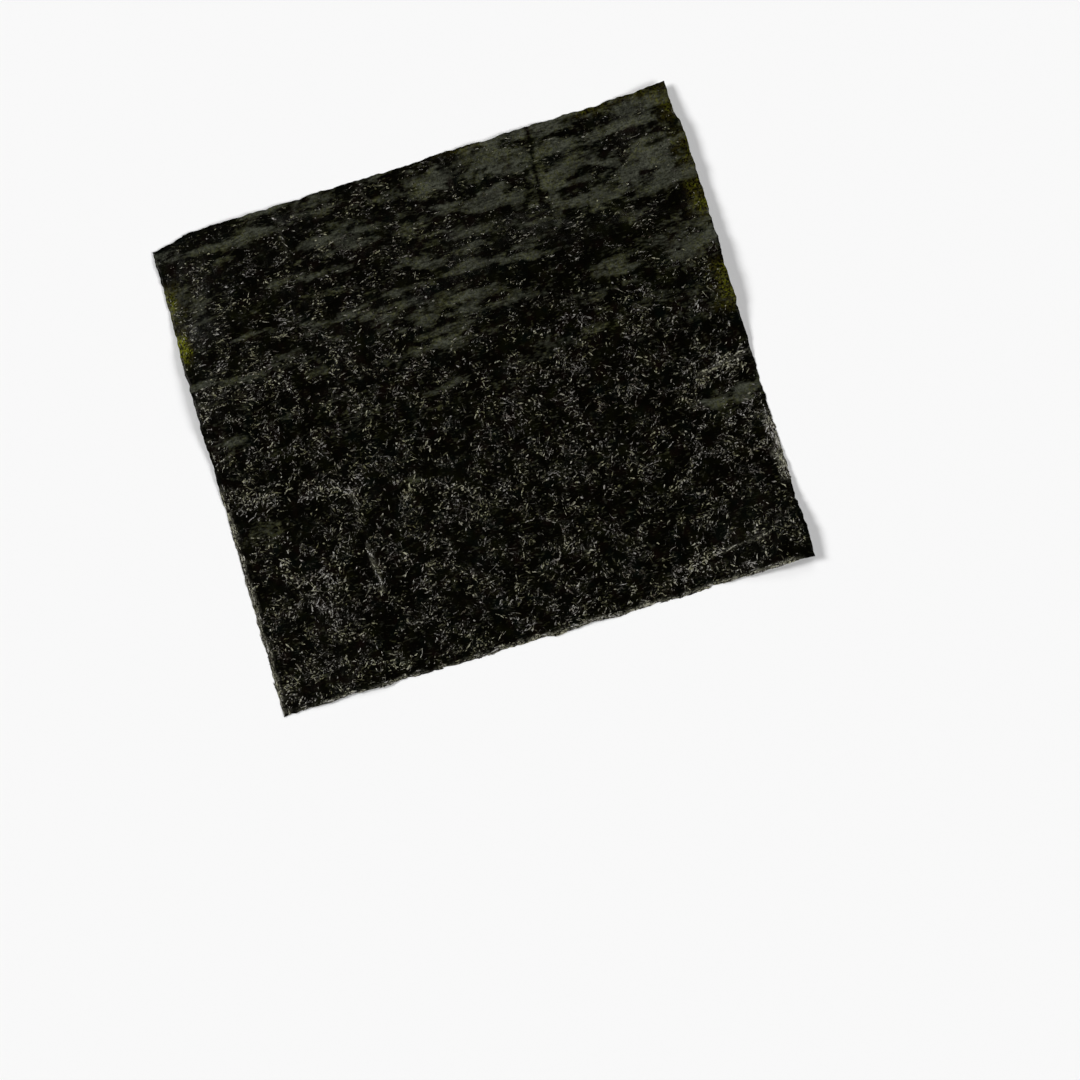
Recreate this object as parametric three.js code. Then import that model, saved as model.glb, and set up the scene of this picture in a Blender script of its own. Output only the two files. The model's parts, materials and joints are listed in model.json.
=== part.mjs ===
// Roasted nori sheet: one full-size leaf of pressed and toasted seaweed, lying loose on a table.
// Units are millimetres and +Z is up. X runs along the long side and Y along the short side.
// The origin is on the table, under the middle of the sheet.
import * as THREE from "three";
import { ImprovedNoise } from "three/addons/math/ImprovedNoise.js";

// Driving dimensions of a standard full sheet
const sheetWidth = 210;
const sheetDepth = 190;
const sheetThickness = 0.3;

// Cells of the surface along X and along Y
const columnCount = 42;
const rowCount = 44;

// Low arch across the far half: the dry leaf has bowed up off the table,
// and bends down again to its far edge. It is higher towards the right.
const arch = { height: 4.2, crestY: 30, frontLength: 62, rightGain: 0.3 };

// Drying ripples that run along X. They start past the middle and are full height near the far edge,
// and a faint share of them shows in the near half.
const ripples = {
  height: 1.0,
  lengthX: 34,
  lengthY: 9,
  startY: -10,
  fullY: 40,
  faintShare: 0.25,
  seed: 7.3,
};

// Slow waves and finer crinkles of the whole leaf
const waves = [
  { height: 3.4, length: 54, seed: 14.04 },
  { height: 0.9, length: 19, seed: 9.2 },
];

// Corners that have curled up: side along X, side along Y, lift and how far in the curl reaches
const curledCorners = [
  { sideX: 1, sideY: 1, lift: 2.2, reach: 30 },
  { sideX: 1, sideY: -1, lift: 2.6, reach: 52 },
  { sideX: -1, sideY: -1, lift: 1.8, reach: 44 },
];

// Middle height of the waves over the table. What would be under the table lies flat on it,
// and the leaf leaves the table over a soft bend of this height.
const middleHeight = 0.15;
const liftOffBend = 0.5;

// Torn rim: how far it wanders in from the straight edge, and the length of one wander
const tornRim = { depth: 0.9, length: 11, seed: 4.1 };

// Far left corner, worn back along the far edge
const wornCorner = { depth: 2.6, reach: 17 };

// Far right corner, where a strip of the right edge has broken off as far as one short step
const brokenStrip = { depth: 1.9, startY: 76, step: 4 };

const noise = new ImprovedNoise();

// 0 before start, 1 after end, and a smooth rise between them
function smoothRise(value, start, end) {
  return THREE.MathUtils.smoothstep(value, start, end);
}

// A smooth hump: 1 at the middle, 0 at a distance of one and beyond
function hump(distance) {
  const inside = Math.min(Math.abs(distance), 1);
  return Math.cos((inside * Math.PI) / 2) ** 2;
}

function archHeight(x, y) {
  const fromCrest = y - arch.crestY;
  const rearLength = sheetDepth / 2 - arch.crestY;
  const profile = fromCrest < 0 ? hump(fromCrest / arch.frontLength) : 1 - (fromCrest / rearLength) ** 2;
  const gain = 1 + (arch.rightGain * x) / (sheetWidth / 2);
  return arch.height * gain * profile;
}

function rippleHeight(x, y) {
  const rise = smoothRise(y, ripples.startY, ripples.fullY);
  const share = THREE.MathUtils.lerp(ripples.faintShare, 1, rise);
  return ripples.height * share * noise.noise(x / ripples.lengthX, y / ripples.lengthY, ripples.seed);
}

function waveHeight(x, y) {
  let height = middleHeight;
  for (const wave of waves) {
    height += wave.height * noise.noise(x / wave.length, y / wave.length, wave.seed);
  }
  return height;
}

function cornerHeight(x, y) {
  let height = 0;
  for (const corner of curledCorners) {
    const awayX = x - (corner.sideX * sheetWidth) / 2;
    const awayY = y - (corner.sideY * sheetDepth) / 2;
    height += corner.lift * hump(Math.hypot(awayX, awayY) / corner.reach);
  }
  return height;
}

// Height of the underside above the table
function undersideHeight(x, y) {
  const free = archHeight(x, y) + rippleHeight(x, y) + waveHeight(x, y) + cornerHeight(x, y);
  return free <= 0 ? 0 : (free * free) / (free + liftOffBend);
}

// How far the rim lies in from the straight edge, at a place along that edge
function tornDepth(along, edgeNumber) {
  const wander = noise.noise(along / tornRim.length, edgeNumber * tornRim.seed, tornRim.seed);
  return (tornRim.depth * (1 + wander)) / 2;
}

function leftEdge(y) {
  return -sheetWidth / 2 + tornDepth(y, 1);
}

function rightEdge(y) {
  const rise = smoothRise(y, brokenStrip.startY, brokenStrip.startY + brokenStrip.step);
  return sheetWidth / 2 - tornDepth(y, 2) - brokenStrip.depth * rise;
}

function nearEdge(x) {
  return -sheetDepth / 2 + tornDepth(x, 3);
}

function farEdge(x) {
  const worn = wornCorner.depth * hump((x + sheetWidth / 2) / wornCorner.reach);
  return sheetDepth / 2 - tornDepth(x, 4) - worn;
}

// Place in plan of a grid point, from its shares of the way across and up the sheet
function planPoint(shareX, shareY) {
  const straightX = (shareX - 0.5) * sheetWidth;
  const straightY = (shareY - 0.5) * sheetDepth;
  const x = THREE.MathUtils.lerp(leftEdge(straightY), rightEdge(straightY), shareX);
  const y = THREE.MathUtils.lerp(nearEdge(straightX), farEdge(straightX), shareY);
  return { x, y };
}

// The thin leaf as one closed surface. Both faces use the same points in plan and are split into
// triangles alike, so the leaf is equally thick all over. A band of triangles closes the rim.
function makeLeafGeometry() {
  const positions = [];
  const triangles = [];
  const pointsPerRow = columnCount + 1;
  const pointsPerFace = pointsPerRow * (rowCount + 1);

  for (const faceLift of [0, sheetThickness]) {
    for (let row = 0; row <= rowCount; row++) {
      for (let column = 0; column <= columnCount; column++) {
        const { x, y } = planPoint(column / columnCount, row / rowCount);
        positions.push(x, y, undersideHeight(x, y) + faceLift);
      }
    }
  }

  const pointAt = (column, row) => row * pointsPerRow + column;
  for (let row = 0; row < rowCount; row++) {
    for (let column = 0; column < columnCount; column++) {
      const a = pointAt(column, row);
      const b = pointAt(column + 1, row);
      const c = pointAt(column + 1, row + 1);
      const d = pointAt(column, row + 1);
      triangles.push(a, c, b, a, d, c);
      const [topA, topB, topC, topD] = [a, b, c, d].map((point) => point + pointsPerFace);
      triangles.push(topA, topB, topC, topA, topC, topD);
    }
  }

  // Rim points in order round the sheet, anticlockwise from above
  const rim = [];
  for (let column = 0; column < columnCount; column++) rim.push(pointAt(column, 0));
  for (let row = 0; row < rowCount; row++) rim.push(pointAt(columnCount, row));
  for (let column = columnCount; column > 0; column--) rim.push(pointAt(column, rowCount));
  for (let row = rowCount; row > 0; row--) rim.push(pointAt(0, row));
  rim.forEach((point, index) => {
    const next = rim[(index + 1) % rim.length];
    triangles.push(point, next, next + pointsPerFace, point, next + pointsPerFace, point + pointsPerFace);
  });

  const geometry = new THREE.BufferGeometry();
  geometry.setAttribute("position", new THREE.Float32BufferAttribute(positions, 3));
  geometry.setIndex(triangles);
  return geometry;
}

// Puts the origin under the middle of the leaf, at the height of its lowest point
function standOnOrigin(geometry) {
  geometry.computeBoundingBox();
  const middle = geometry.boundingBox.getCenter(new THREE.Vector3());
  geometry.translate(-middle.x, -middle.y, -geometry.boundingBox.min.z);
  geometry.computeVertexNormals();
}

const toastedNori = new THREE.MeshStandardMaterial({ color: 0x14160e, roughness: 0.5, metalness: 0 });

const leafGeometry = makeLeafGeometry();
standOnOrigin(leafGeometry);

const leaf = new THREE.Mesh(leafGeometry, toastedNori);
leaf.name = "nori_sheet";

const roastedNori = new THREE.Group();
roastedNori.add(leaf);

export default roastedNori;
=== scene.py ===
import json
import math

import bmesh
import bpy
import numpy as np
from mathutils import Matrix, Vector, kdtree, noise

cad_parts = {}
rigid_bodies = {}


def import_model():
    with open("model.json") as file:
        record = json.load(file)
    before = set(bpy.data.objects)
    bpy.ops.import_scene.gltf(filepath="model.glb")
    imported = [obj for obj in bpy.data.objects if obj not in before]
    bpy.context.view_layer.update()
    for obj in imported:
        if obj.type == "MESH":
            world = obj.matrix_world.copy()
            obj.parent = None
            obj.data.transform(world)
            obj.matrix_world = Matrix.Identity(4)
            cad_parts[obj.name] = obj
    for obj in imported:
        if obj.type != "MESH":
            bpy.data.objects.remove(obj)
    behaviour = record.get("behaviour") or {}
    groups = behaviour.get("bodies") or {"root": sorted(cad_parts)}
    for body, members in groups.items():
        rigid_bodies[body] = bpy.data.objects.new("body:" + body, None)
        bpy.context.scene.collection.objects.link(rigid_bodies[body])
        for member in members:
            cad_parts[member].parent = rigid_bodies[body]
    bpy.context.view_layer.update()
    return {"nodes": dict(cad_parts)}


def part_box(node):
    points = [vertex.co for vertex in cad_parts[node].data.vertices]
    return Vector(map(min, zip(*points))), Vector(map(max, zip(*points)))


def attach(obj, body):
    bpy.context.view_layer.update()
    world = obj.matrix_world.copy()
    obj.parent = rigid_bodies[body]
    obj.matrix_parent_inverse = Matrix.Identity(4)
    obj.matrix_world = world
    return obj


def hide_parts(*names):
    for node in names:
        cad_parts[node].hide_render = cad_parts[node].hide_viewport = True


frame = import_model()
scene = bpy.context.scene
mm = 0.001

leafNode = "nori_sheet"
sheetLow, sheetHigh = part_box(leafNode)
print("frame loaded, sheet", [round(v / mm, 1) for v in sheetHigh - sheetLow], "mm")


# small helpers for node trees, shared by the geometry and the shader trees
def addNode(tree, kind, inputs=None, **settings):
    node = tree.nodes.new(kind)
    for name, value in settings.items():
        setattr(node, name, value)
    for socket, value in (inputs or {}).items():
        if isinstance(value, bpy.types.NodeSocket):
            tree.links.new(value, node.inputs[socket])
        else:
            node.inputs[socket].default_value = value
    return node


def calc(tree, operation, first, second=0.0, third=0.0):
    inputs = {0: first, 1: second, 2: third}
    return addNode(tree, "ShaderNodeMath", inputs, operation=operation).outputs[0]


def product(tree, first, *others):
    for other in others:
        first = calc(tree, "MULTIPLY", first, other)
    return first


def ranged(tree, value, low, high, toLow=0.0, toHigh=1.0):
    inputs = {0: value, 1: low, 2: high, 3: toLow, 4: toHigh}
    return addNode(tree, "ShaderNodeMapRange", inputs).outputs[0]


def vectorOf(tree, x=0.0, y=0.0, z=0.0):
    return addNode(tree, "ShaderNodeCombineXYZ", {0: x, 1: y, 2: z}).outputs[0]


def axesOf(tree, vector):
    return addNode(tree, "ShaderNodeSeparateXYZ", {0: vector}).outputs


def stretched(tree, vector, scale):
    inputs = {0: vector, 1: scale}
    return addNode(tree, "ShaderNodeVectorMath", inputs, operation="MULTIPLY").outputs[0]


# marks that are kept on the leaf's points, as a geometry tree and as a shader tree read them
def leafMark(tree, name):
    node = addNode(tree, "GeometryNodeInputNamedAttribute", {"Name": name}, data_type="FLOAT")
    return node.outputs["Attribute"]


def shaderMark(tree, name):
    return addNode(tree, "ShaderNodeAttribute", attribute_name=name).outputs["Fac"]


def newGeometryTree(name, sockets):
    tree = bpy.data.node_groups.new(name, "GeometryNodeTree")
    tree.interface.new_socket("Geometry", in_out="INPUT", socket_type="NodeSocketGeometry")
    for socketName, socketType in sockets.items():
        tree.interface.new_socket(socketName, in_out="INPUT", socket_type=socketType)
    tree.interface.new_socket("Geometry", in_out="OUTPUT", socket_type="NodeSocketGeometry")
    return tree, tree.nodes.new("NodeGroupInput").outputs, tree.nodes.new("NodeGroupOutput")


def addTree(piece, tree, values):
    modifier = piece.modifiers.new(tree.name, "NODES")
    modifier.node_group = tree
    for item in tree.interface.items_tree:
        if item.in_out == "INPUT" and item.name in values:
            modifier[item.identifier] = values[item.name]


# evaluates the modifiers once and keeps the result as a plain mesh
def freeze(piece):
    graph = bpy.context.evaluated_depsgraph_get()
    made = bpy.data.meshes.new_from_object(piece.evaluated_get(graph), depsgraph=graph)
    made.name = piece.name
    piece.modifiers.clear()
    piece.data = made


def newPiece(name, mesh):
    piece = bpy.data.objects.new(name, mesh)
    scene.collection.objects.link(piece)
    return piece


def coordinates(mesh):
    flat = np.empty(len(mesh.vertices) * 3, np.float32)
    mesh.vertices.foreach_get("co", flat)
    return flat.reshape(-1, 3)


def keepAttribute(mesh, name, values):
    layer = mesh.attributes.new(name, "FLOAT", "POINT")
    layer.data.foreach_set("value", np.asarray(values, np.float32))


# camera
shot = {
    "lens": 85.0,
    "sensorWidth": 36.0,
    "distance": 0.962,
    "azimuth": 34.2,  # degrees, 0 looks along +Y
    "elevation": 82.9,
    "roll": -50.9,
    "aim": (0.0077, -0.0587, 0.0),
}


def makeCamera():
    data = bpy.data.cameras.new("camera")
    data.lens = shot["lens"]
    data.sensor_width = shot["sensorWidth"]
    camera = bpy.data.objects.new("camera", data)
    scene.collection.objects.link(camera)
    azimuth, elevation = math.radians(shot["azimuth"]), math.radians(shot["elevation"])
    back = Vector((math.sin(azimuth), -math.cos(azimuth), math.tan(elevation))).normalized()
    place = Matrix.Translation(Vector(shot["aim"]) + back * shot["distance"])
    turn = back.to_track_quat("Z", "Y").to_matrix().to_4x4()
    roll = Matrix.Rotation(math.radians(shot["roll"]), 4, "Z")
    camera.matrix_world = place @ turn @ roll
    scene.camera = camera


makeCamera()
print("camera placed")

# studio: pale floor and soft lamps, far off so that the floor is evenly lit
lamps = {
    "key": {"towards": (-0.90, 0.42), "elevation": 40, "angle": 22, "power": 2.60},
    "rear": {"towards": (0.26, 0.96), "elevation": 37, "angle": 22, "power": 0.55},
    "fill": {"towards": (0.80, -0.60), "elevation": 40, "angle": 22, "power": 1.92},
}
surroundings = 0.02  # grey of all that is beyond the floor


def makeStudio():
    for name, lamp in lamps.items():
        data = bpy.data.lights.new(name, "SUN")
        data.energy = lamp["power"]
        data.angle = math.radians(lamp["angle"])
        light = bpy.data.objects.new(name, data)
        height = math.tan(math.radians(lamp["elevation"])) * math.hypot(*lamp["towards"])
        light.rotation_euler = Vector((*lamp["towards"], height)).to_track_quat("Z", "Y").to_euler()
        scene.collection.objects.link(light)
    world = bpy.data.worlds.new("studio")
    world.use_nodes = True
    world.node_tree.nodes["Background"].inputs["Color"].default_value = (surroundings,) * 3 + (1,)
    scene.world = world
    scene.view_settings.view_transform = "Standard"


floorLook = {
    "size": 40.0, "drop": 0.02 * mm,
    "colour": (0.90, 0.90, 0.90, 1), "roughness": 0.75, "specular": 0.1,
}


def makeFloor():
    mesh = bpy.data.meshes.new("floor")
    half = floorLook["size"] / 2
    corners = [(-half, -half), (half, -half), (half, half), (-half, half)]
    mesh.from_pydata([(x, y, -floorLook["drop"]) for x, y in corners], [], [(0, 1, 2, 3)])
    finish = bpy.data.materials.new("paleFloor")
    finish.use_nodes = True
    shader = finish.node_tree.nodes["Principled BSDF"]
    shader.inputs["Base Color"].default_value = floorLook["colour"]
    shader.inputs["Roughness"].default_value = floorLook["roughness"]
    shader.inputs["Specular IOR Level"].default_value = floorLook["specular"]
    mesh.materials.append(finish)
    newPiece("floor", mesh)


makeStudio()
makeFloor()
print("studio ready")

# the leaf: the CAD solid with its cells cut finer and its facets smoothed away
leafShape = {
    "mergeGap": 0.001 * mm, "joinAngle": 80,  # degrees, up to which two triangles become one cell
    "cuts": 4, "shortEdge": 1.0 * mm, "smoothRounds": 12, "smoothShare": 0.5,
}


def leafMesh():
    work = bmesh.new()
    work.from_mesh(frame["nodes"][leafNode].data)
    bmesh.ops.remove_doubles(work, verts=work.verts, dist=leafShape["mergeGap"])
    limit = math.radians(leafShape["joinAngle"])
    bmesh.ops.join_triangles(
        work, faces=work.faces, angle_face_threshold=limit, angle_shape_threshold=limit,
    )
    longEdges = [edge for edge in work.edges if edge.calc_length() > leafShape["shortEdge"]]
    bmesh.ops.subdivide_edges(work, edges=longEdges, cuts=leafShape["cuts"], use_grid_fill=True)
    for _ in range(leafShape["smoothRounds"]):
        bmesh.ops.smooth_vert(work, verts=work.verts, factor=leafShape["smoothShare"], use_axis_z=True)
    for face in work.faces:
        face.smooth = True
    mesh = bpy.data.meshes.new("noriLeaf")
    work.to_mesh(mesh)
    work.free()
    return mesh


leafData = leafMesh()
print("leaf cut finer,", len(leafData.polygons), "faces")

# ovals on the leaf: middle, half sizes (mm), turn (degrees) and strength
# film that was pressed smooth, its pale colour a painted sheen
pressedSheenFilm = [
    (90, 90, 17, 7, 0, 1.0), (52, 92, 12, 4, 0, 0.8), (30, 88, 20, 10, 0, 1.7),
    (6, 86, 16, 8, 0, 1.5), (62, 75, 14, 6, 4, 1.1), (88, 69, 22, 11, 4, 1.6),
    (32, 71, 17, 6, -25, 1.6), (50, 71, 11, 10, 0, 1.2), (67, 59, 17, 5, 4, 1.3),
    (-9, 58, 11, 4, -18, 0.9), (14, 56, 12, 3.5, 0, 0.9), (95, 31, 15, 7, 8, 1.4),
    (68, 30, 15, 3.5, -8, 1.1), (-9, 35, 16, 4.5, 2, 1.2), (-25, 39, 11, 3.5, -20, 1.0),
    (-10, 23.5, 19, 2.6, 4, 0.9), (-9, 7.5, 12, 2.2, 4, 0.8), (52, 12, 15, 3, 4, 0.6),
    (93, -28, 20, 4.8, 3, 1.7), (-95, 11, 10, 6.5, -10, 0.8), (-95, 69, 9, 8, -35, 0.9),
    (-69, 86, 10, 4.5, -18, 0.9), (-6, 70, 9, 4.5, 0, 0.8), (-30, 79, 10, 3.5, 0, 0.6),
    (-40, 92, 17, 4, 0, 0.8), (-52, 65, 5, 3.5, 0, 0.7), (-93, -26, 12, 7, 0, 0.45),
    (-31, -23, 9, 1.8, 4, 0.6),
]
# hollows that stay dark and nearly bare
darkHollows = [
    (91, 48, 15, 10, 0, 1.2), (67, 47, 16, 7, 0, 1.1), (68, 86, 9, 5, 0, 0.9),
    (28, 66, 10, 3, 0, 0.9), (-97, 90, 8, 6, 0, 0.9), (-50, 91, 6, 4, 0, 0.6),
    (-41, 49, 5, 6, 0, 0.8), (-60, -50, 6, 7, 0, 0.8), (85, 16, 12, 4, 0, 0.7),
    (92, -21, 14, 3, 0, 0.8), (52, -4, 9, 6, 0, 0.9), (75, 1, 14, 5, 0, 0.9),
    (97, 2, 10, 8, 0, 0.8), (44, -33, 17, 8, 0, 0.9), (63, -42, 15, 9, 0, 0.9),
    (36, 34, 10, 7, 0, 0.8), (-57, 2, 8, 7, 0, 0.6), (2, -4, 9, 9, 0, 0.5),
    (38, -17, 8, 6, 0, 0.5), (62, -21, 15, 8, 0, 0.8), (34, -50, 14, 8, 0, 0.8),
]
# clumps of shreds that are denser than the rest
denseClumps = [
    (93, -15, 18, 6, 9, 1.3), (-97, -9, 8, 12, 0, 0.8), (-98, -86, 9, 11, 0, 0.8),
    (84, -86, 22, 8, 0, 0.5), (-72, -13, 9, 6, 0, 0.6), (-100, 28, 6, 9, 0, 0.7),
    (13, -88, 5, 9, 0, 0.6), (94, -50, 10, 6, 0, 0.6), (-76, -51, 13, 9, 0, 1.6),
    (61, -84, 14, 7, 5, 2.0), (-57, -86, 12, 7, 0, 0.6), (-19, -33, 10, 7, 0, 0.7),
    (-57, -17, 10, 7, 0, 0.7), (96, -35, 8, 8, 0, 0.6), (-88, -11, 7, 8, 0, 1.6),
    (-87, -40, 8, 6, 0, 1.3),
]
ovalEdge = {"soft": 1.0, "breakUp": 0.7, "grainSizes": (6.0, 2.6), "octaves": 3, "seed": 3.7}

# streaks of film along X in the far half, more of them towards the right: smoother film whose pale colour
# is painted sheen
streaks = {
    "sizes": (20, 4.6), "octaves": 4, "seed": 12.6, "start": -0.05, "full": 0.58,
    "rightGain": 0.13, "gainWidth": 100, "gainShift": 0.2,
}

# short folds: start, end, half width and rise (mm)
folds = [
    ((48, 98), (45, 64), 1.8, -0.10), ((-55, 90), (-53, 71), 1.0, 0.07),
    ((13, 96), (14, 78), 1.0, 0.06), ((-22, 92), (-17, 84), 0.9, 0.08),
    ((-55.8, -41), (-54.6, -60), 1.1, 0.20), ((-56.5, -18), (-56, -28), 1.0, 0.14),
    ((70, -83), (91, -81.7), 1.0, 0.12), ((83, -16.5), (104, -13), 1.8, 0.12),
]

# zones along the rim: side, from, to and reach inwards (mm), strength
# thin leaf, where light comes through olive
thinRims = [
    ("left", 46, 58, 7.0, 1.1), ("left", 62, 76, 6.5, 0.8), ("right", 80, 94, 8.0, 0.5),
    ("right", 58, 76, 8.0, 0.5), ("right", 40, 56, 9.0, 0.6), ("right", 4, 22, 9.0, 0.7),
    ("far", 62, 98, 4.0, 0.4), ("far", 12, 30, 3.0, 0.4),
]
# strips that stand up and catch the light
litEdges = [
    ("near", -98, -30, 1.4, 0.7), ("near", -30, 98, 1.8, 1.0),
    ("left", -92, -6, 2.2, 0.8), ("right", -62, -38, 3.4, 1.0),
]
rimZone = {
    "fade": 4, "depth": 10,  # mm: soft ends of a zone, and how near to its side it has to be
    "core": 0.2, "breakUp": 0.6, "grainSizes": (4.0, 4.0), "octaves": 3, "seed": 8.1,
}

# ragged outline: the last few millimetres wander in and out
raggedRim = {
    "outermost": 0.5, "reach": 3.0, "amount": 0.40, "sizes": (1.9, 3.1, 7.3), "seed": 5.2, "axisSeed": 3.1,
}
rimNormal = 0.5  # faces of the rim point less up or down than this
octaveFall, octaveStep = 0.9, 2.1  # weight and scale from one octave of noise to the next


def smoothStep(values, start, end):
    share = np.clip((values - start) / (end - start), 0, 1)
    return share * share * (3 - 2 * share)


def noiseAt(places, sizes, seed, octaves=1):
    spots = [Vector((x, y, seed)) for x, y in places / np.array(sizes)]
    if octaves == 1:
        return np.array([noise.noise(spot) for spot in spots])
    return np.array([noise.fractal(spot, octaveFall, octaveStep, octaves) for spot in spots])


# share of a list of ovals, with broken borders
def ovalShare(places, ovals, grain):
    most = np.zeros(len(places))
    for x, y, halfLong, halfShort, turn, strength in ovals:
        turn = math.radians(turn)
        away = places - (x, y)
        along = (away[:, 0] * math.cos(turn) + away[:, 1] * math.sin(turn)) / halfLong
        across = (away[:, 1] * math.cos(turn) - away[:, 0] * math.sin(turn)) / halfShort
        inside = 1.0 - np.hypot(along, across) + ovalEdge["breakUp"] * grain
        most = np.maximum(most, strength * smoothStep(inside, 0.0, ovalEdge["soft"]))
    return most


def streakShare(places, farness):
    drift = noiseAt(places, streaks["sizes"], streaks["seed"], streaks["octaves"])
    drift += streaks["rightGain"] * (places[:, 0] / streaks["gainWidth"] - streaks["gainShift"])
    return farness * smoothStep(drift, streaks["start"], streaks["full"])


# rise of the folds, and the way that each one runs
def foldRise(places):
    rises, turns = np.zeros(len(places)), np.zeros(len(places))
    for start, end, halfWidth, rise in folds:
        start, run = np.array(start), np.subtract(end, start)
        share = np.clip((places - start) @ run / (run @ run), 0, 1)
        gap = np.linalg.norm(places - start - share[:, None] * run, axis=1)
        rises += rise * (1 - smoothStep(gap, 0, halfWidth))
        turns[gap < halfWidth] = math.atan2(run[1], run[0])
    return rises, turns


# distance of every place from the rim, which is where the upper face and the underside meet
def rimGap(mesh, places):
    rim = set()
    for face in mesh.polygons:
        if abs(face.normal.z) < rimNormal:
            rim.update(face.vertices)
    tree = kdtree.KDTree(len(rim))
    for number, corner in enumerate(sorted(rim)):
        tree.insert((*places[corner], 0), number)
    tree.balance()
    return np.array([tree.find((x, y, 0))[2] for x, y in places])


# share of a list of rim zones, with a broken inner border
def rimShare(places, gap, zones):
    grain = noiseAt(places, rimZone["grainSizes"], rimZone["seed"], rimZone["octaves"])
    sides = {"left": (0, -1), "right": (0, 1), "near": (1, -1), "far": (1, 1)}
    half = np.array(sheetHigh)[:2] / mm
    fade = rimZone["fade"]
    most = np.zeros(len(places))
    for side, start, end, reach, strength in zones:
        axis, sign = sides[side]
        along = places[:, 1 - axis]
        there = places[:, axis] * sign > half[axis] - rimZone["depth"]
        within = smoothStep(along, start - fade, start + fade)
        within *= 1 - smoothStep(along, end - fade, end + fade)
        near = 1 - smoothStep(gap - rimZone["breakUp"] * reach * grain, rimZone["core"] * reach, reach)
        most = np.maximum(most, strength * there * within * near)
    return most


def raggedOutline(mesh):
    places = coordinates(mesh)
    flat = places[:, :2] / mm
    gap = rimGap(mesh, flat)
    hold = 1 - smoothStep(gap, raggedRim["outermost"], raggedRim["reach"])
    for size in raggedRim["sizes"]:
        for axis in (0, 1):
            seed = raggedRim["seed"] + axis * raggedRim["axisSeed"] + size
            wander = noiseAt(flat, (size, size), seed)
            places[:, axis] += wander * hold * raggedRim["amount"] * mm
    mesh.vertices.foreach_set("co", places.ravel())
    return gap


# how the leaf changes from place to place: places and sizes in mm, the rest in shares
leafChange = {
    "farRows": (-15, 50), "smoothRows": (70, 92), "smoothColumns": (-50, 10),  # start and full
    "raisedFold": (0.02, 0.15), "foldLight": 0.4, "bareFold": 0.1,
    "clumpSizes": (5.2, 5.2), "clumpSeed": 1.4, "tuftSizes": (2.4, 2.4), "tuftSeed": 6.4, "tuftShare": 0.6,
    "denseGain": 0.5, "clumpRange": (-0.16, 0.36), "bareCover": 0.07, "clumpCover": 0.80,
    "filmBares": 0.85, "hollowBares": 0.6, "smoothBares": 0.35,
    "rimWidth": 2.2, "sideWidth": 4, "rimCover": 0.05, "rimCovered": (1.2, 2.6),
    "swirlSizes": (17, 17), "swirlSeed": 2.2, "swirlTurn": 1.8,
    "calmRim": 0.92, "calmFar": 0.72, "calmNear": 0.3,
}


def markLeaf(mesh, gap):
    change = leafChange
    places = coordinates(mesh)[:, :2] / mm
    columns, rows = places[:, 0], places[:, 1]
    farness = smoothStep(rows, *change["farRows"])
    towardsRight = smoothStep(columns, *change["smoothColumns"])
    towardsFar = smoothStep(rows, *change["smoothRows"])
    smooth = farness * np.maximum(towardsRight, towardsFar)
    fold, foldTurn = foldRise(places)
    raised = smoothStep(fold, *change["raisedFold"])
    # painted highlight along the edges that catch the light and on raised folds
    edge = np.maximum(rimShare(places, gap, litEdges), change["foldLight"] * raised)

    # film, which carries the painted sheen, lies in streaks and ovals, but not in hollows or on folds
    grain = noiseAt(places, ovalEdge["grainSizes"], ovalEdge["seed"], ovalEdge["octaves"])
    hollow = ovalShare(places, darkHollows, grain)
    pressed = np.maximum(streakShare(places, farness), ovalShare(places, pressedSheenFilm, grain)) * (1 - hollow)
    pressed *= np.clip(1 - np.abs(fold) / change["bareFold"], 0, 1)

    # shreds gather in clumps, with few on the film, in hollows, in the smooth part and at the rim
    crumpled = ovalShare(places, denseClumps, grain)
    clumps = noiseAt(places, change["clumpSizes"], change["clumpSeed"])
    clumps += change["tuftShare"] * noiseAt(places, change["tuftSizes"], change["tuftSeed"])
    clumps = smoothStep(clumps + change["denseGain"] * crumpled, *change["clumpRange"])
    cover = change["bareCover"] + change["clumpCover"] * clumps
    cover *= 1 - change["filmBares"] * np.clip(pressed, 0, 1)
    cover *= 1 - change["hollowBares"] * hollow
    cover *= 1 - change["smoothBares"] * smooth
    cover *= change["rimCover"] + (1 - change["rimCover"]) * smoothStep(gap, *change["rimCovered"])

    # the way that shreds lie: along the rim and the folds, in swirls elsewhere, calmer in the far half
    rim = gap < change["rimWidth"]
    alongSide = rim & (np.abs(columns) > np.array(sheetHigh)[0] / mm - change["sideWidth"])
    swirl = change["swirlTurn"] * noiseAt(places, change["swirlSizes"], change["swirlSeed"])
    swirl = swirl * (1 - farness) * ~rim
    grainTurn = np.where(raised > 0, foldTurn, np.where(alongSide, math.pi / 2, swirl))
    calm = np.maximum(change["calmFar"] * farness, change["calmNear"])
    calm = np.where(rim | (raised > 0), change["calmRim"], calm)

    marks = {
        "pressed": pressed, "fold": fold, "thin": rimShare(places, gap, thinRims), "edge": edge,
        "farness": farness, "smooth": smooth, "crumpled": np.clip(crumpled, 0, 1),
        "cover": cover, "calm": calm, "grainTurn": grainTurn,
    }
    for name, values in marks.items():
        keepAttribute(mesh, name, values)


markLeaf(leafData, raggedOutline(leafData))
print("leaf marked: pressed streaks, folds, thin rim")

# low relief of the leaf, in the upper face and a little in the underside
reliefSizes = {
    "Wrinkle height": 0.25 * mm, "Wrinkle size": 4.4 * mm,
    "Streak height": 0.60 * mm, "Streak length": 26 * mm, "Streak width": 6.0 * mm,
    "Fold scale": 1.0 * mm, "Underside height": 0.08 * mm,
}
reliefGrain = {
    "detail": 2.0, "distortion": 0.8, "ridge": (0.34, 0.66), "pressedCalm": 0.85,
    "streakDetail": 1.0, "streakSeed": 4.2,
}
noiseMiddle = 0.5  # of a noise texture's values


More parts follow.
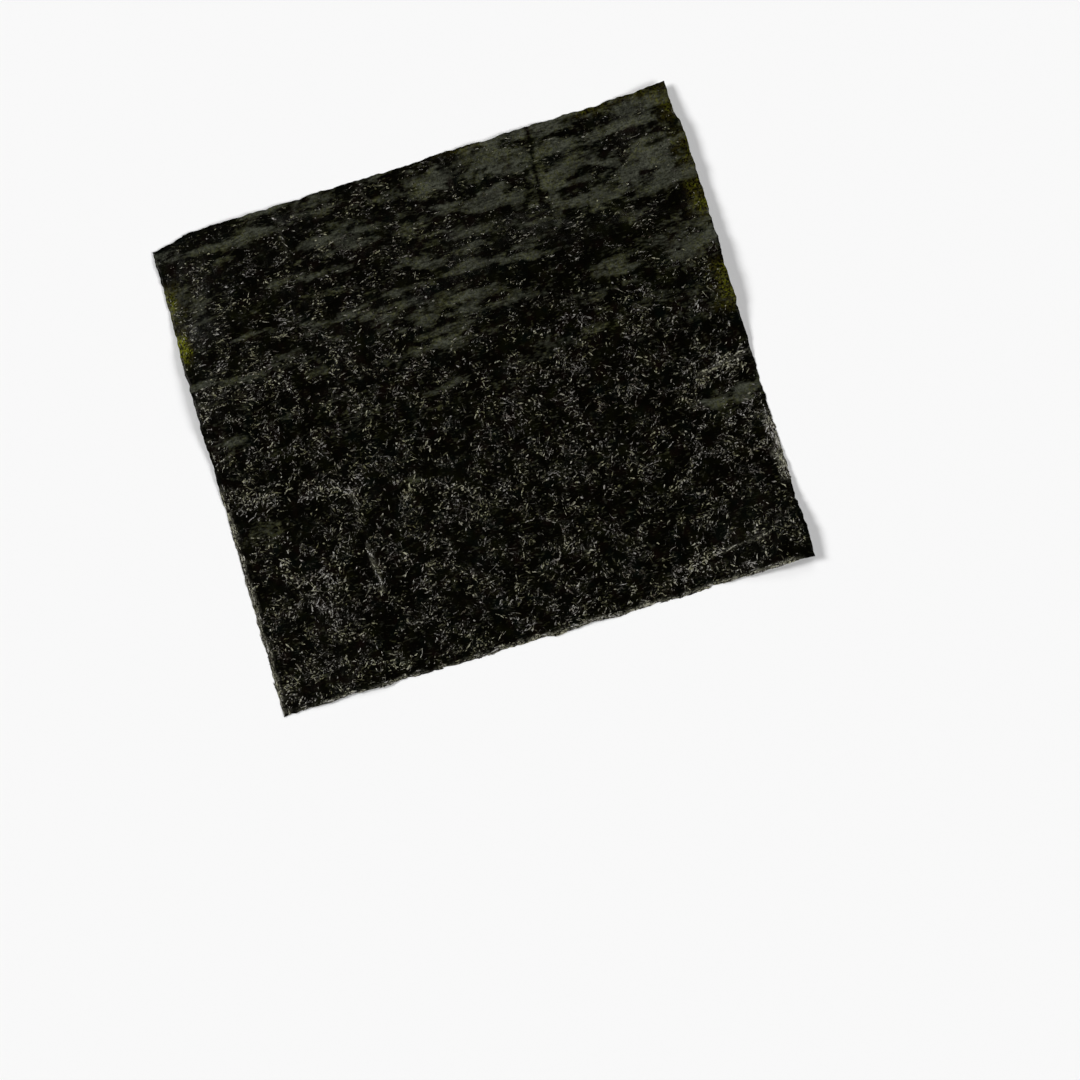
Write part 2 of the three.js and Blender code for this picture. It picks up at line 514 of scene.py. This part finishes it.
def reliefTree():
    tree, given, result = newGeometryTree("leafRelief", dict.fromkeys(reliefSizes, "NodeSocketFloat"))
    place = tree.nodes.new("GeometryNodeInputPosition").outputs[0]
    normal = tree.nodes.new("GeometryNodeInputNormal").outputs[0]
    axes = axesOf(tree, place)

    # ridged wrinkles of the film, gone where it is pressed
    film = addNode(tree, "ShaderNodeTexNoise", {
        "Vector": place, "Scale": calc(tree, "DIVIDE", 1.0, given["Wrinkle size"]),
        "Detail": reliefGrain["detail"], "Distortion": reliefGrain["distortion"],
    }).outputs[0]
    raised = calc(tree, "SUBTRACT", ranged(tree, film, *reliefGrain["ridge"]), noiseMiddle)
    calmed = product(tree, leafMark(tree, "pressed"), reliefGrain["pressedCalm"])
    wrinkle = product(tree, raised, calc(tree, "SUBTRACT", 1.0, calmed), given["Wrinkle height"])

    # fine streaks along X towards the far edge
    lengthwise = calc(tree, "DIVIDE", axes[0], given["Streak length"])
    crosswise = calc(tree, "DIVIDE", axes[1], given["Streak width"])
    streak = addNode(tree, "ShaderNodeTexNoise", {
        "Vector": vectorOf(tree, lengthwise, crosswise, reliefGrain["streakSeed"]),
        "Scale": 1.0, "Detail": reliefGrain["streakDetail"],
    }).outputs[0]
    streak = calc(tree, "SUBTRACT", streak, noiseMiddle)
    streak = product(tree, streak, leafMark(tree, "farness"), given["Streak height"])

    fold = product(tree, leafMark(tree, "fold"), given["Fold scale"])
    upper = calc(tree, "ADD", calc(tree, "ADD", wrinkle, streak), fold)
    under = product(tree, film, given["Underside height"])
    isUpper = calc(tree, "GREATER_THAN", axesOf(tree, normal)[2], 0.0)
    height = addNode(tree, "ShaderNodeMix", {"Factor": isUpper, 2: under, 3: upper}).outputs[0]
    moved = addNode(tree, "GeometryNodeSetPosition", {
        "Geometry": given["Geometry"], "Offset": vectorOf(tree, z=height),
    })
    tree.links.new(moved.outputs[0], result.inputs[0])
    return tree


leaf = newPiece("noriLeaf", leafData)
addTree(leaf, reliefTree(), reliefSizes)
freeze(leaf)
print("leaf relief made,", len(leaf.data.polygons), "faces")

# shreds: low bent ridges of film that lie in the leaf's face, ends sunk
# all in shares of a shred's length, width and height
shredShape = {
    "kinds": 12, "seed": 11, "sunk": 0.35, "jag": 0.3,
    "endBend": 0.25, "twist": 0.12, "twistRate": 9,
    "taper": 1.7, "widths": (0.45, 1.3), "arch": 1.8, "heights": (0.35, 1.25),
    "lean": 0.45, "rearTop": -0.4, "rearHeight": 0.85, "frontTop": 0.35,
}


def shredMesh(name, draw, rings, curl):
    shape = shredShape
    base = -shape["sunk"]
    bend = draw.uniform(-curl, curl)
    twist = draw.uniform(-shape["twist"], shape["twist"]) * curl
    points = [(-0.5, bend * shape["endBend"], base), (0.5, bend * shape["endBend"], base)]
    for ring in range(rings):
        along = (ring + 1) / (rings + 1) - 0.5
        side = bend * (along * along) + twist * math.sin(along * shape["twistRate"])
        side += draw.uniform(-1, 1) * shape["jag"]
        width = 0.5 * math.sqrt(1 - (along * shape["taper"]) ** 2) * draw.uniform(*shape["widths"])
        height = (1 - (along * shape["arch"]) ** 2) * draw.uniform(*shape["heights"])
        lean = draw.uniform(-shape["lean"], shape["lean"])
        points += [
            (along, side - width, base),
            (along, side + (lean + shape["rearTop"]) * width, height * shape["rearHeight"]),
            (along, side + (lean + shape["frontTop"]) * width, height),
            (along, side + width, base),
        ]

    # two end points, then four corners to a ring
    faces = []
    first = [2 + corner for corner in range(4)]
    last = [2 + (rings - 1) * 4 + corner for corner in range(4)]
    for corner in range(4):
        after = (corner + 1) % 4
        faces.append((0, first[after], first[corner]))
        faces.append((1, last[corner], last[after]))
        for ring in range(rings - 1):
            here, there = 2 + ring * 4, 6 + ring * 4
            faces.append((here + corner, here + after, there + after, there + corner))
    mesh = bpy.data.meshes.new(name)
    mesh.from_pydata(points, [], faces)
    work = bmesh.new()
    work.from_mesh(mesh)
    bmesh.ops.recalc_face_normals(work, faces=work.faces)
    work.to_mesh(mesh)
    work.free()
    return mesh


def shredCollection(name, rings, curl):
    draw = np.random.default_rng(shredShape["seed"] + rings)
    shapes = bpy.data.collections.new(name + "Shapes")
    scene.collection.children.link(shapes)
    for number in range(shredShape["kinds"]):
        shape = f"{name}Shape{number}"
        shapes.objects.link(bpy.data.objects.new(shape, shredMesh(shape, draw, rings, curl)))
    return shapes


# scatters shreds over one face of the leaf
scatterShares = {
    "facing": 0.5, "widths": (-1.1, 0.6), "lowest": 0.25, "tallest": 1.05, "tallPower": 2.0,
    "denseRise": 0.7, "smoothFiner": -0.4, "rayStart": 50 * mm, "rayLength": 100 * mm,
}
drawSeeds = {"turn": 1, "tiltX": 2, "tiltY": 3, "length": 4, "width": 5, "height": 6, "shape": 7, "tone": 8}


def shredTree():
    tree, given, result = newGeometryTree("shredScatter", {
        "Per square metre": "NodeSocketFloat", "Facing": "NodeSocketFloat", "Seed": "NodeSocketInt",
        "Length": "NodeSocketFloat", "Width": "NodeSocketFloat", "Height": "NodeSocketFloat",
        "Uneven": "NodeSocketFloat", "Tilt": "NodeSocketFloat", "Along grain": "NodeSocketFloat",
        "Flattened": "NodeSocketFloat", "Lightest": "NodeSocketFloat", "Cover": "NodeSocketString",
        "Shapes": "NodeSocketCollection", "Finish": "NodeSocketMaterial",
    })
    place = tree.nodes.new("GeometryNodeInputPosition").outputs[0]
    normal = tree.nodes.new("GeometryNodeInputNormal").outputs[0]
    flat = stretched(tree, place, (1, 1, 0))
    height = axesOf(tree, place)[2]

    def draw(name, low, high):
        seed = calc(tree, "ADD", given["Seed"], float(drawSeeds[name]))
        inputs = {2: low, 3: high, "Seed": seed}
        return addNode(tree, "FunctionNodeRandomValue", inputs, data_type="FLOAT").outputs[1]

    def atHeight(z):
        inputs = {0: flat, 1: vectorOf(tree, z=z)}
        return addNode(tree, "ShaderNodeVectorMath", inputs, operation="ADD").outputs[0]

    # points on the chosen face, laid level, each with the height of its spot kept
    towards = product(tree, axesOf(tree, normal)[2], given["Facing"])
    points = addNode(tree, "GeometryNodeDistributePointsOnFaces", {
        "Mesh": given["Geometry"], "Seed": given["Seed"],
        "Selection": calc(tree, "GREATER_THAN", towards, scatterShares["facing"]),
        "Density": product(tree, leafMark(tree, given["Cover"]), given["Per square metre"]),
    }, distribute_method="RANDOM")
    placed = addNode(tree, "GeometryNodeStoreNamedAttribute", {
        "Geometry": points.outputs["Points"], "Name": "spot", "Value": height,
    }, data_type="FLOAT", domain="POINT")
    level = addNode(tree, "GeometryNodeSetPosition", {"Geometry": placed.outputs[0], "Position": flat})

    # the calmer the leaf, the more of them lie along its grain
    calm = product(tree, leafMark(tree, "calm"), given["Along grain"])
    spread = product(tree, math.pi / 2, calc(tree, "SUBTRACT", 1.0, calm))
    turn = calc(tree, "ADD", product(tree, draw("turn", -1.0, 1.0), spread), leafMark(tree, "grainTurn"))
    over = product(tree, calc(tree, "SUBTRACT", 1.0, given["Facing"]), math.pi / 2)
    tiltX = calc(tree, "ADD", over, product(tree, draw("tiltX", -1.0, 1.0), given["Tilt"]))
    tiltY = product(tree, draw("tiltY", -1.0, 1.0), given["Tilt"])
    turned = addNode(tree, "FunctionNodeEulerToRotation", {0: vectorOf(tree, tiltX, tiltY, turn)})

    # lengths vary most, and many short ones stand beside a few long ones
    stretch = calc(tree, "POWER", 2.0, product(tree, draw("length", -1.0, 1.0), given["Uneven"]))
    broad = product(tree, draw("width", *scatterShares["widths"]), given["Uneven"])
    broad = calc(tree, "POWER", 2.0, broad)
    tall = draw("height", 0.0, scatterShares["tallest"])
    tall = calc(tree, "ADD", scatterShares["lowest"], calc(tree, "POWER", tall, scatterShares["tallPower"]))

    # flatter and finer in the smooth part of the leaf, taller in dense clumps
    pressedDown = product(tree, leafMark(tree, "smooth"), given["Flattened"])
    finer = calc(tree, "MULTIPLY_ADD", pressedDown, scatterShares["smoothFiner"], 1.0)
    standing = calc(tree, "SUBTRACT", 1.0, pressedDown)
    standing = calc(tree, "MULTIPLY_ADD", leafMark(tree, "crumpled"), scatterShares["denseRise"], standing)
    length = product(tree, given["Length"], product(tree, stretch, finer))
    width = product(tree, given["Width"], product(tree, broad, finer))
    rise = product(tree, given["Height"], product(tree, tall, standing))

    shapes = addNode(tree, "GeometryNodeCollectionInfo", {
        "Collection": given["Shapes"], "Separate Children": True, "Reset Children": True,
    })
    pick = addNode(tree, "FunctionNodeRandomValue", {
        4: 0, 5: shredShape["kinds"] - 1, "Seed": drawSeeds["shape"],
    }, data_type="INT")
    shreds = addNode(tree, "GeometryNodeInstanceOnPoints", {
        "Points": level.outputs[0], "Instance": shapes.outputs[0], "Pick Instance": True,
        "Instance Index": pick.outputs[2], "Rotation": turned.outputs[0],
        "Scale": vectorOf(tree, length, width, rise),
    })
    toned = addNode(tree, "GeometryNodeStoreNamedAttribute", {
        "Geometry": shreds.outputs[0], "Name": "tone", "Value": draw("tone", 0.0, given["Lightest"]),
    }, data_type="FLOAT", domain="INSTANCE")
    real = addNode(tree, "GeometryNodeRealizeInstances", {"Geometry": toned.outputs[0]})

    # drape: each corner keeps its own height over the spot of the leaf that it lies on
    ray = addNode(tree, "GeometryNodeRaycast", {
        "Target Geometry": given["Geometry"], "Ray Length": scatterShares["rayLength"],
        "Source Position": atHeight(product(tree, given["Facing"], scatterShares["rayStart"])),
        "Ray Direction": vectorOf(tree, z=product(tree, given["Facing"], -1.0)),
    })
    nearest = addNode(tree, "GeometryNodeProximity", {
        "Geometry": given["Geometry"], "Sample Position": atHeight(leafMark(tree, "spot")),
    })
    spot = addNode(tree, "GeometryNodeSwitch", {
        0: ray.outputs["Is Hit"], 1: nearest.outputs["Position"], 2: ray.outputs["Hit Position"],
    }, input_type="VECTOR").outputs[0]
    lifted = calc(tree, "ADD", axesOf(tree, spot)[2], height)
    lifted = atHeight(calc(tree, "MAXIMUM", lifted, 0.0))
    draped = addNode(tree, "GeometryNodeSetPosition", {"Geometry": real.outputs[0], "Position": lifted})
    coated = addNode(tree, "GeometryNodeSetMaterial", {
        "Geometry": draped.outputs[0], "Material": given["Finish"],
    })
    tree.links.new(coated.outputs[0], result.inputs[0])
    return tree


def blendColour(tree, share, first, second):
    inputs = {"Factor": share, 6: first, 7: second}
    return addNode(tree, "ShaderNodeMix", inputs, data_type="RGBA").outputs[2]


def noiseField(tree, place, size, detail, seed):
    inputs = {"Vector": place, "W": seed, "Scale": 1.0 / size, "Detail": detail}
    return addNode(tree, "ShaderNodeTexNoise", inputs, noise_dimensions="4D").outputs[0]


# a new finish, with its look's noises and ranges at hand by name
def newFinish(name, look):
    finish = bpy.data.materials.new(name)
    finish.use_nodes = True
    tree = finish.node_tree
    place = tree.nodes.new("ShaderNodeTexCoord").outputs["Object"]

    def field(kind, where=place):
        return noiseField(tree, where, *look["noises"][kind])

    def shown(value, kind):
        return ranged(tree, value, *look["ranges"][kind])

    return finish, tree, place, field, shown


glintTint = (1.0, 0.98, 0.88, 1)


def finishSurface(tree, look, colour, roughness, height):
    shader = tree.nodes["Principled BSDF"].inputs
    tree.links.new(colour, shader["Base Color"])
    tree.links.new(roughness, shader["Roughness"])
    shader["Specular IOR Level"].default_value = look["specular"]
    shader["Specular Tint"].default_value = glintTint
    bump = addNode(tree, "ShaderNodeBump", {
        "Strength": look["bump"], "Distance": look["bumpDepth"], "Height": height,
    })
    tree.links.new(bump.outputs[0], shader["Normal"])


# slow changes of tint that the leaf and its shreds share: tint, noise (size, detail, seed), range shown
slowTints = [
    ((0.0026, 0.0028, 0.0004, 1), (6.5 * mm, 3.0, 1.3), (0.50, 0.72)),  # olive
    ((0.0026, 0.0012, 0.0008, 1), (5 * mm, 3.0, 5.1), (0.52, 0.72)),  # brown
    ((0.0006, 0.0015, 0.0010, 1), (5.5 * mm, 3.0, 9.6), (0.54, 0.74)),  # bluish
]


def tinted(tree, place, colour):
    for tint, grain, shown in slowTints:
        share = ranged(tree, noiseField(tree, place, *grain), *shown)
        colour = blendColour(tree, share, colour, tint)
    return colour


# finish of the leaf
leafLook = {
    "dark": (0.0006, 0.0005, 0.0001, 1), "flatFleck": (0.0092, 0.0089, 0.0056, 1),
    "slateSheen": (0.0540, 0.0568, 0.0415, 1), "oliveSheen": (0.0750, 0.0780, 0.0305, 1),
    "backlitBrown": (0.0420, 0.0360, 0.0050, 1), "backlitGreen": (0.1150, 0.1230, 0.0070, 1),
    "edgeHighlightColour": (0.200, 0.196, 0.148, 1),
    "specular": 0.06, "bump": 0.7, "bumpDepth": 0.40 * mm,
    "brushed": (0.35, 1, 1),  # draws the film's fuzz out along X
    "mottleShare": 1.2, "fuzzShare": 1.6, "cloudGrain": 1.5, "cloudFilm": -0.25, "thinFresh": 0.30,
    "noises": {  # size, detail and seed
        "grain": (1.1 * mm, 3.0, 4.4), "mottle": (2.4 * mm, 4.0, 7.2), "fuzz": (0.7 * mm, 4.0, 2.9),
        "patches": (3.6 * mm, 1.0, 3.6), "dust": (0.55 * mm, 3.0, 9.1), "fleck": (0.8 * mm, 3.0, 3.3),
        "cloud": (9 * mm, 2.0, 8.3), "cloudGrain": (0.9 * mm, 4.0, 1.9), "spots": (0.7 * mm, 4.0, 2.2),
        "fresh": (1.6 * mm, 4.0, 6.6), "fibres": (0.6 * mm, 3.0, 7.9),
    },
    "ranges": {  # low and high, then what they become if not 0 and 1
        "film": (1.54, 2.40), "fuzz": (0.34, 0.62, 0.50, 1.10), "patches": (0.30, 0.70, 0.52, 1.12),
        "dust": (0.34, 0.66, 0.42, 1.20), "fleck": (0.52, 0.68), "cloud": (1.11, 1.43),
        "spots": (0.42, 0.58), "fresh": (0.60, 0.84), "fibres": (0.42, 0.60),
        "roughness": (0.0, 1.0, 0.26, 0.42), "crumple": (0.0, 1.0, 0.6, 1.1),
    },
}


def leafFinish():
    finish, tree, place, field, shown = newFinish("toastedNori", leafLook)
    brushed = stretched(tree, place, leafLook["brushed"])

    # share of the pressed film, whose pale colour is painted sheen, broken by fuzz, painted ripple shading
    # and dust
    fuzz = field("fuzz", brushed)
    film = calc(tree, "MULTIPLY_ADD", fuzz, leafLook["fuzzShare"], shaderMark(tree, "pressed"))
    film = calc(tree, "MULTIPLY_ADD", field("mottle"), leafLook["mottleShare"], film)
    # painted shading along the film's ripples: lighter and darker streaks drawn out along X
    patches = shown(field("patches", brushed), "patches")
    dust = shown(field("dust"), "dust")
    film = product(tree, shown(film, "film"), shown(fuzz, "fuzz"), patches, dust)

    # dim flecks that lie flat in the leaf
    fleck = product(tree, shown(field("fleck"), "fleck"), shaderMark(tree, "cover"))
    colour = blendColour(tree, fleck, tinted(tree, place, leafLook["dark"]), leafLook["flatFleck"])

    # pressed film: painted sheen in slate, with olive clouds of fine grain
    cloud = calc(tree, "MULTIPLY_ADD", field("cloudGrain"), leafLook["cloudGrain"], field("cloud"))
    cloud = calc(tree, "MULTIPLY_ADD", film, leafLook["cloudFilm"], cloud)
    sheenColour = blendColour(tree, shown(cloud, "cloud"), leafLook["slateSheen"], leafLook["oliveSheen"])
    colour = blendColour(tree, film, colour, sheenColour)

    # thin rim: olive spots, partly the leaf's own olive and partly painted light shining through the thin
    # leaf
    thin = shaderMark(tree, "thin")
    fresh = calc(tree, "ADD", field("fresh"), product(tree, thin, leafLook["thinFresh"]))
    backlitColour = blendColour(tree, shown(fresh, "fresh"), leafLook["backlitBrown"], leafLook["backlitGreen"])
    colour = blendColour(tree, product(tree, thin, shown(field("spots"), "spots")), colour, backlitColour)
    # painted highlight: pale fibres along the lit edges and fold crests
    fibres = product(tree, shaderMark(tree, "edge"), shown(field("fibres"), "fibres"))
    colour = blendColour(tree, fibres, colour, leafLook["edgeHighlightColour"])

    crumple = calc(tree, "ABSOLUTE", calc(tree, "SUBTRACT", field("grain"), noiseMiddle))
    crumple = product(tree, crumple, shown(film, "crumple"))
    finishSurface(tree, leafLook, colour, shown(film, "roughness"), crumple)
    return finish


# finish of the shreds
shredLook = {
    "dull": (0.0014, 0.0012, 0.0005, 1), "mauve": (0.116, 0.108, 0.098, 1),
    "russet": (0.114, 0.089, 0.070, 1), "paleOlive": (0.142, 0.139, 0.065, 1),
    "torn": (0.310, 0.299, 0.284, 1), "glintPaleOlive": (0.321, 0.313, 0.224, 1),
    "thin": (0.110, 0.115, 0.012, 1),
    "specular": 0.4, "bump": 0.5, "bumpDepth": 0.22 * mm,
    "hues": 9.0, "oliveHue": 0.22, "russetHue": -0.15, "denseLight": 0.40, "smoothLight": -0.03,
    "noises": {  # size, detail and seed
        "olive": (7 * mm, 2.0, 2.7), "russet": (6 * mm, 2.0, 8.8),
        "crumbs": (0.8 * mm, 4.0, 7.9), "crumple": (0.7 * mm, 2.0, 5.8),
    },
    "ranges": {  # low and high, then what they become if not 0 and 1
        "olive": (0.50, 0.74), "russet": (0.48, 0.64), "crumbs": (0.43, 0.60, 0.0, 1.2),
        "lit": (0.25, 0.95), "torn": (0.66, 1.10), "roughness": (0.0, 1.0, 0.26, 0.18),
    },
}


def shredFinish():
    finish, tree, place, field, shown = newFinish("noriShred", shredLook)
    tone = shaderMark(tree, "tone")

    # pale tints, which change over the leaf and from shred to shred: partly the shreds' own paler colour,
    # partly painted glints
    hue = calc(tree, "FRACT", product(tree, tone, shredLook["hues"]))
    olive = shown(calc(tree, "MULTIPLY_ADD", hue, shredLook["oliveHue"], field("olive")), "olive")
    russet = shown(calc(tree, "MULTIPLY_ADD", hue, shredLook["russetHue"], field("russet")), "russet")
    pale = blendColour(tree, olive, shredLook["mauve"], shredLook["paleOlive"])
    pale = blendColour(tree, russet, pale, shredLook["russet"])
    # shreds on the thin rim: partly own olive, partly painted light shining through the leaf
    pale = blendColour(tree, shaderMark(tree, "thin"), pale, shredLook["thin"])
    palestGlint = blendColour(tree, olive, shredLook["torn"], shredLook["glintPaleOlive"])

    # painted glints: lit in crumbs, lighter in dense clumps, and near white where it is brightest
    crumbs = shown(field("crumbs"), "crumbs")
    bright = calc(tree, "MULTIPLY_ADD", shaderMark(tree, "crumpled"), shredLook["denseLight"], tone)
    bright = calc(tree, "MULTIPLY_ADD", shaderMark(tree, "smooth"), shredLook["smoothLight"], bright)
    colour = tinted(tree, place, shredLook["dull"])
    colour = blendColour(tree, product(tree, shown(bright, "lit"), crumbs), colour, pale)
    colour = blendColour(tree, product(tree, shown(bright, "torn"), crumbs), colour, palestGlint)
    finishSurface(tree, shredLook, colour, shown(tone, "roughness"), field("crumple"))
    return finish


toastedNori, noriShred = leafFinish(), shredFinish()
leaf.data.materials.clear()
leaf.data.materials.append(toastedNori)
print("finishes made")

# flat layout for the baked maps: upper faces in the lower part, the underside in a strip above it
bakeLayout = {
    "map": "OFBake", "upper": (0.0, 0.72), "under": (0.74, 1.0), "margin": 3 * mm, "upperNormal": -0.2,
}


def layFlat(mesh, twoSided):
    low = np.array(sheetLow)[:2] - bakeLayout["margin"]
    size = np.array(sheetHigh - sheetLow)[:2] + 2 * bakeLayout["margin"]
    corners = np.empty(len(mesh.loops), np.int32)
    mesh.loops.foreach_get("vertex_index", corners)
    places = (coordinates(mesh)[corners, :2] - low) / size
    if twoSided:
        normals = np.empty(len(mesh.polygons) * 3, np.float32)
        mesh.polygons.foreach_get("normal", normals)
        counts = np.empty(len(mesh.polygons), np.int32)
        mesh.polygons.foreach_get("loop_total", counts)
        isUpper = np.repeat(normals[2::3] > bakeLayout["upperNormal"], counts)
        for chosen, (start, end) in ((isUpper, bakeLayout["upper"]), (~isUpper, bakeLayout["under"])):
            places[chosen, 1] = start + places[chosen, 1] * (end - start)
    layer = mesh.uv_layers.new(name=bakeLayout["map"])
    layer.data.foreach_set("uv", np.clip(places, 0, 1).astype(np.float32).ravel())


# kinds of shred: rings and curl of the shapes, then the inputs of the scatter
shredKinds = {
    "wrinkleLines": {
        "rings": 5, "curl": 4.0, "Per square metre": 165e3, "Facing": 1.0, "Seed": 21, "Length": 3.6 * mm,
        "Width": 0.46 * mm, "Height": 0.08 * mm, "Uneven": 0.9, "Tilt": 0.03, "Along grain": 1.0,
        "Flattened": 0.5, "Lightest": 1.0, "Cover": "cover",
    },
    "shreds": {
        "rings": 3, "curl": 1.8, "Per square metre": 540e3, "Facing": 1.0, "Seed": 47, "Length": 2.0 * mm,
        "Width": 0.57 * mm, "Height": 0.105 * mm, "Uneven": 0.9, "Tilt": 0.06, "Along grain": 0.8,
        "Flattened": 0.6, "Lightest": 1.0, "Cover": "cover",
    },
    "specks": {
        "rings": 2, "curl": 1.0, "Per square metre": 725e3, "Facing": 1.0, "Seed": 64, "Length": 1.20 * mm,
        "Width": 0.51 * mm, "Height": 0.09 * mm, "Uneven": 0.8, "Tilt": 0.1, "Along grain": 0.6,
        "Flattened": 0.65, "Lightest": 1.0, "Cover": "cover",
    },
    "threads": {
        "rings": 5, "curl": 3.0, "Per square metre": 18e3, "Facing": 1.0, "Seed": 92, "Length": 3.6 * mm,
        "Width": 0.32 * mm, "Height": 0.08 * mm, "Uneven": 0.7, "Tilt": 0.0, "Along grain": 0.3,
        "Flattened": 0.4, "Lightest": 1.35, "Cover": "cover",
    },
    # shreds along the lit edges, whose extra paleness (Lightest) is painted highlight
    "edgeLines": {
        "rings": 5, "curl": 0.2, "Per square metre": 1500e3, "Facing": 1.0, "Seed": 35, "Length": 3.0 * mm,
        "Width": 0.5 * mm, "Height": 0.10 * mm, "Uneven": 0.8, "Tilt": 0.0, "Along grain": 1.0,
        "Flattened": 0.0, "Lightest": 1.8, "Cover": "edge",
    },
    "undersideShreds": {
        "rings": 3, "curl": 1.8, "Per square metre": 100e3, "Facing": -1.0, "Seed": 83, "Length": 1.9 * mm,
        "Width": 0.7 * mm, "Height": 0.08 * mm, "Uneven": 0.8, "Tilt": 0.0, "Along grain": 0.5,
        "Flattened": 0.0, "Lightest": 1.0, "Cover": "cover",
    },
}


def makeShreds():
    tree = shredTree()
    pieces = []
    for name, kind in shredKinds.items():
        shapes = shredCollection(name, kind["rings"], kind["curl"])
        piece = newPiece(name, leaf.data.copy())
        addTree(piece, tree, {**kind, "Shapes": shapes, "Finish": noriShred})
        freeze(piece)
        pieces.append(piece)
        for shape in list(shapes.objects):
            bpy.data.objects.remove(shape)
        bpy.data.collections.remove(shapes)
        piece.data.calc_loop_triangles()
        print(name, "scattered,", len(piece.data.loop_triangles), "triangles")
    return pieces


for piece in [leaf, *makeShreds()]:
    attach(piece, "root")
    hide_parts(leafNode)
    layFlat(piece.data, piece is leaf)
print("pieces ride on the sheet's body")
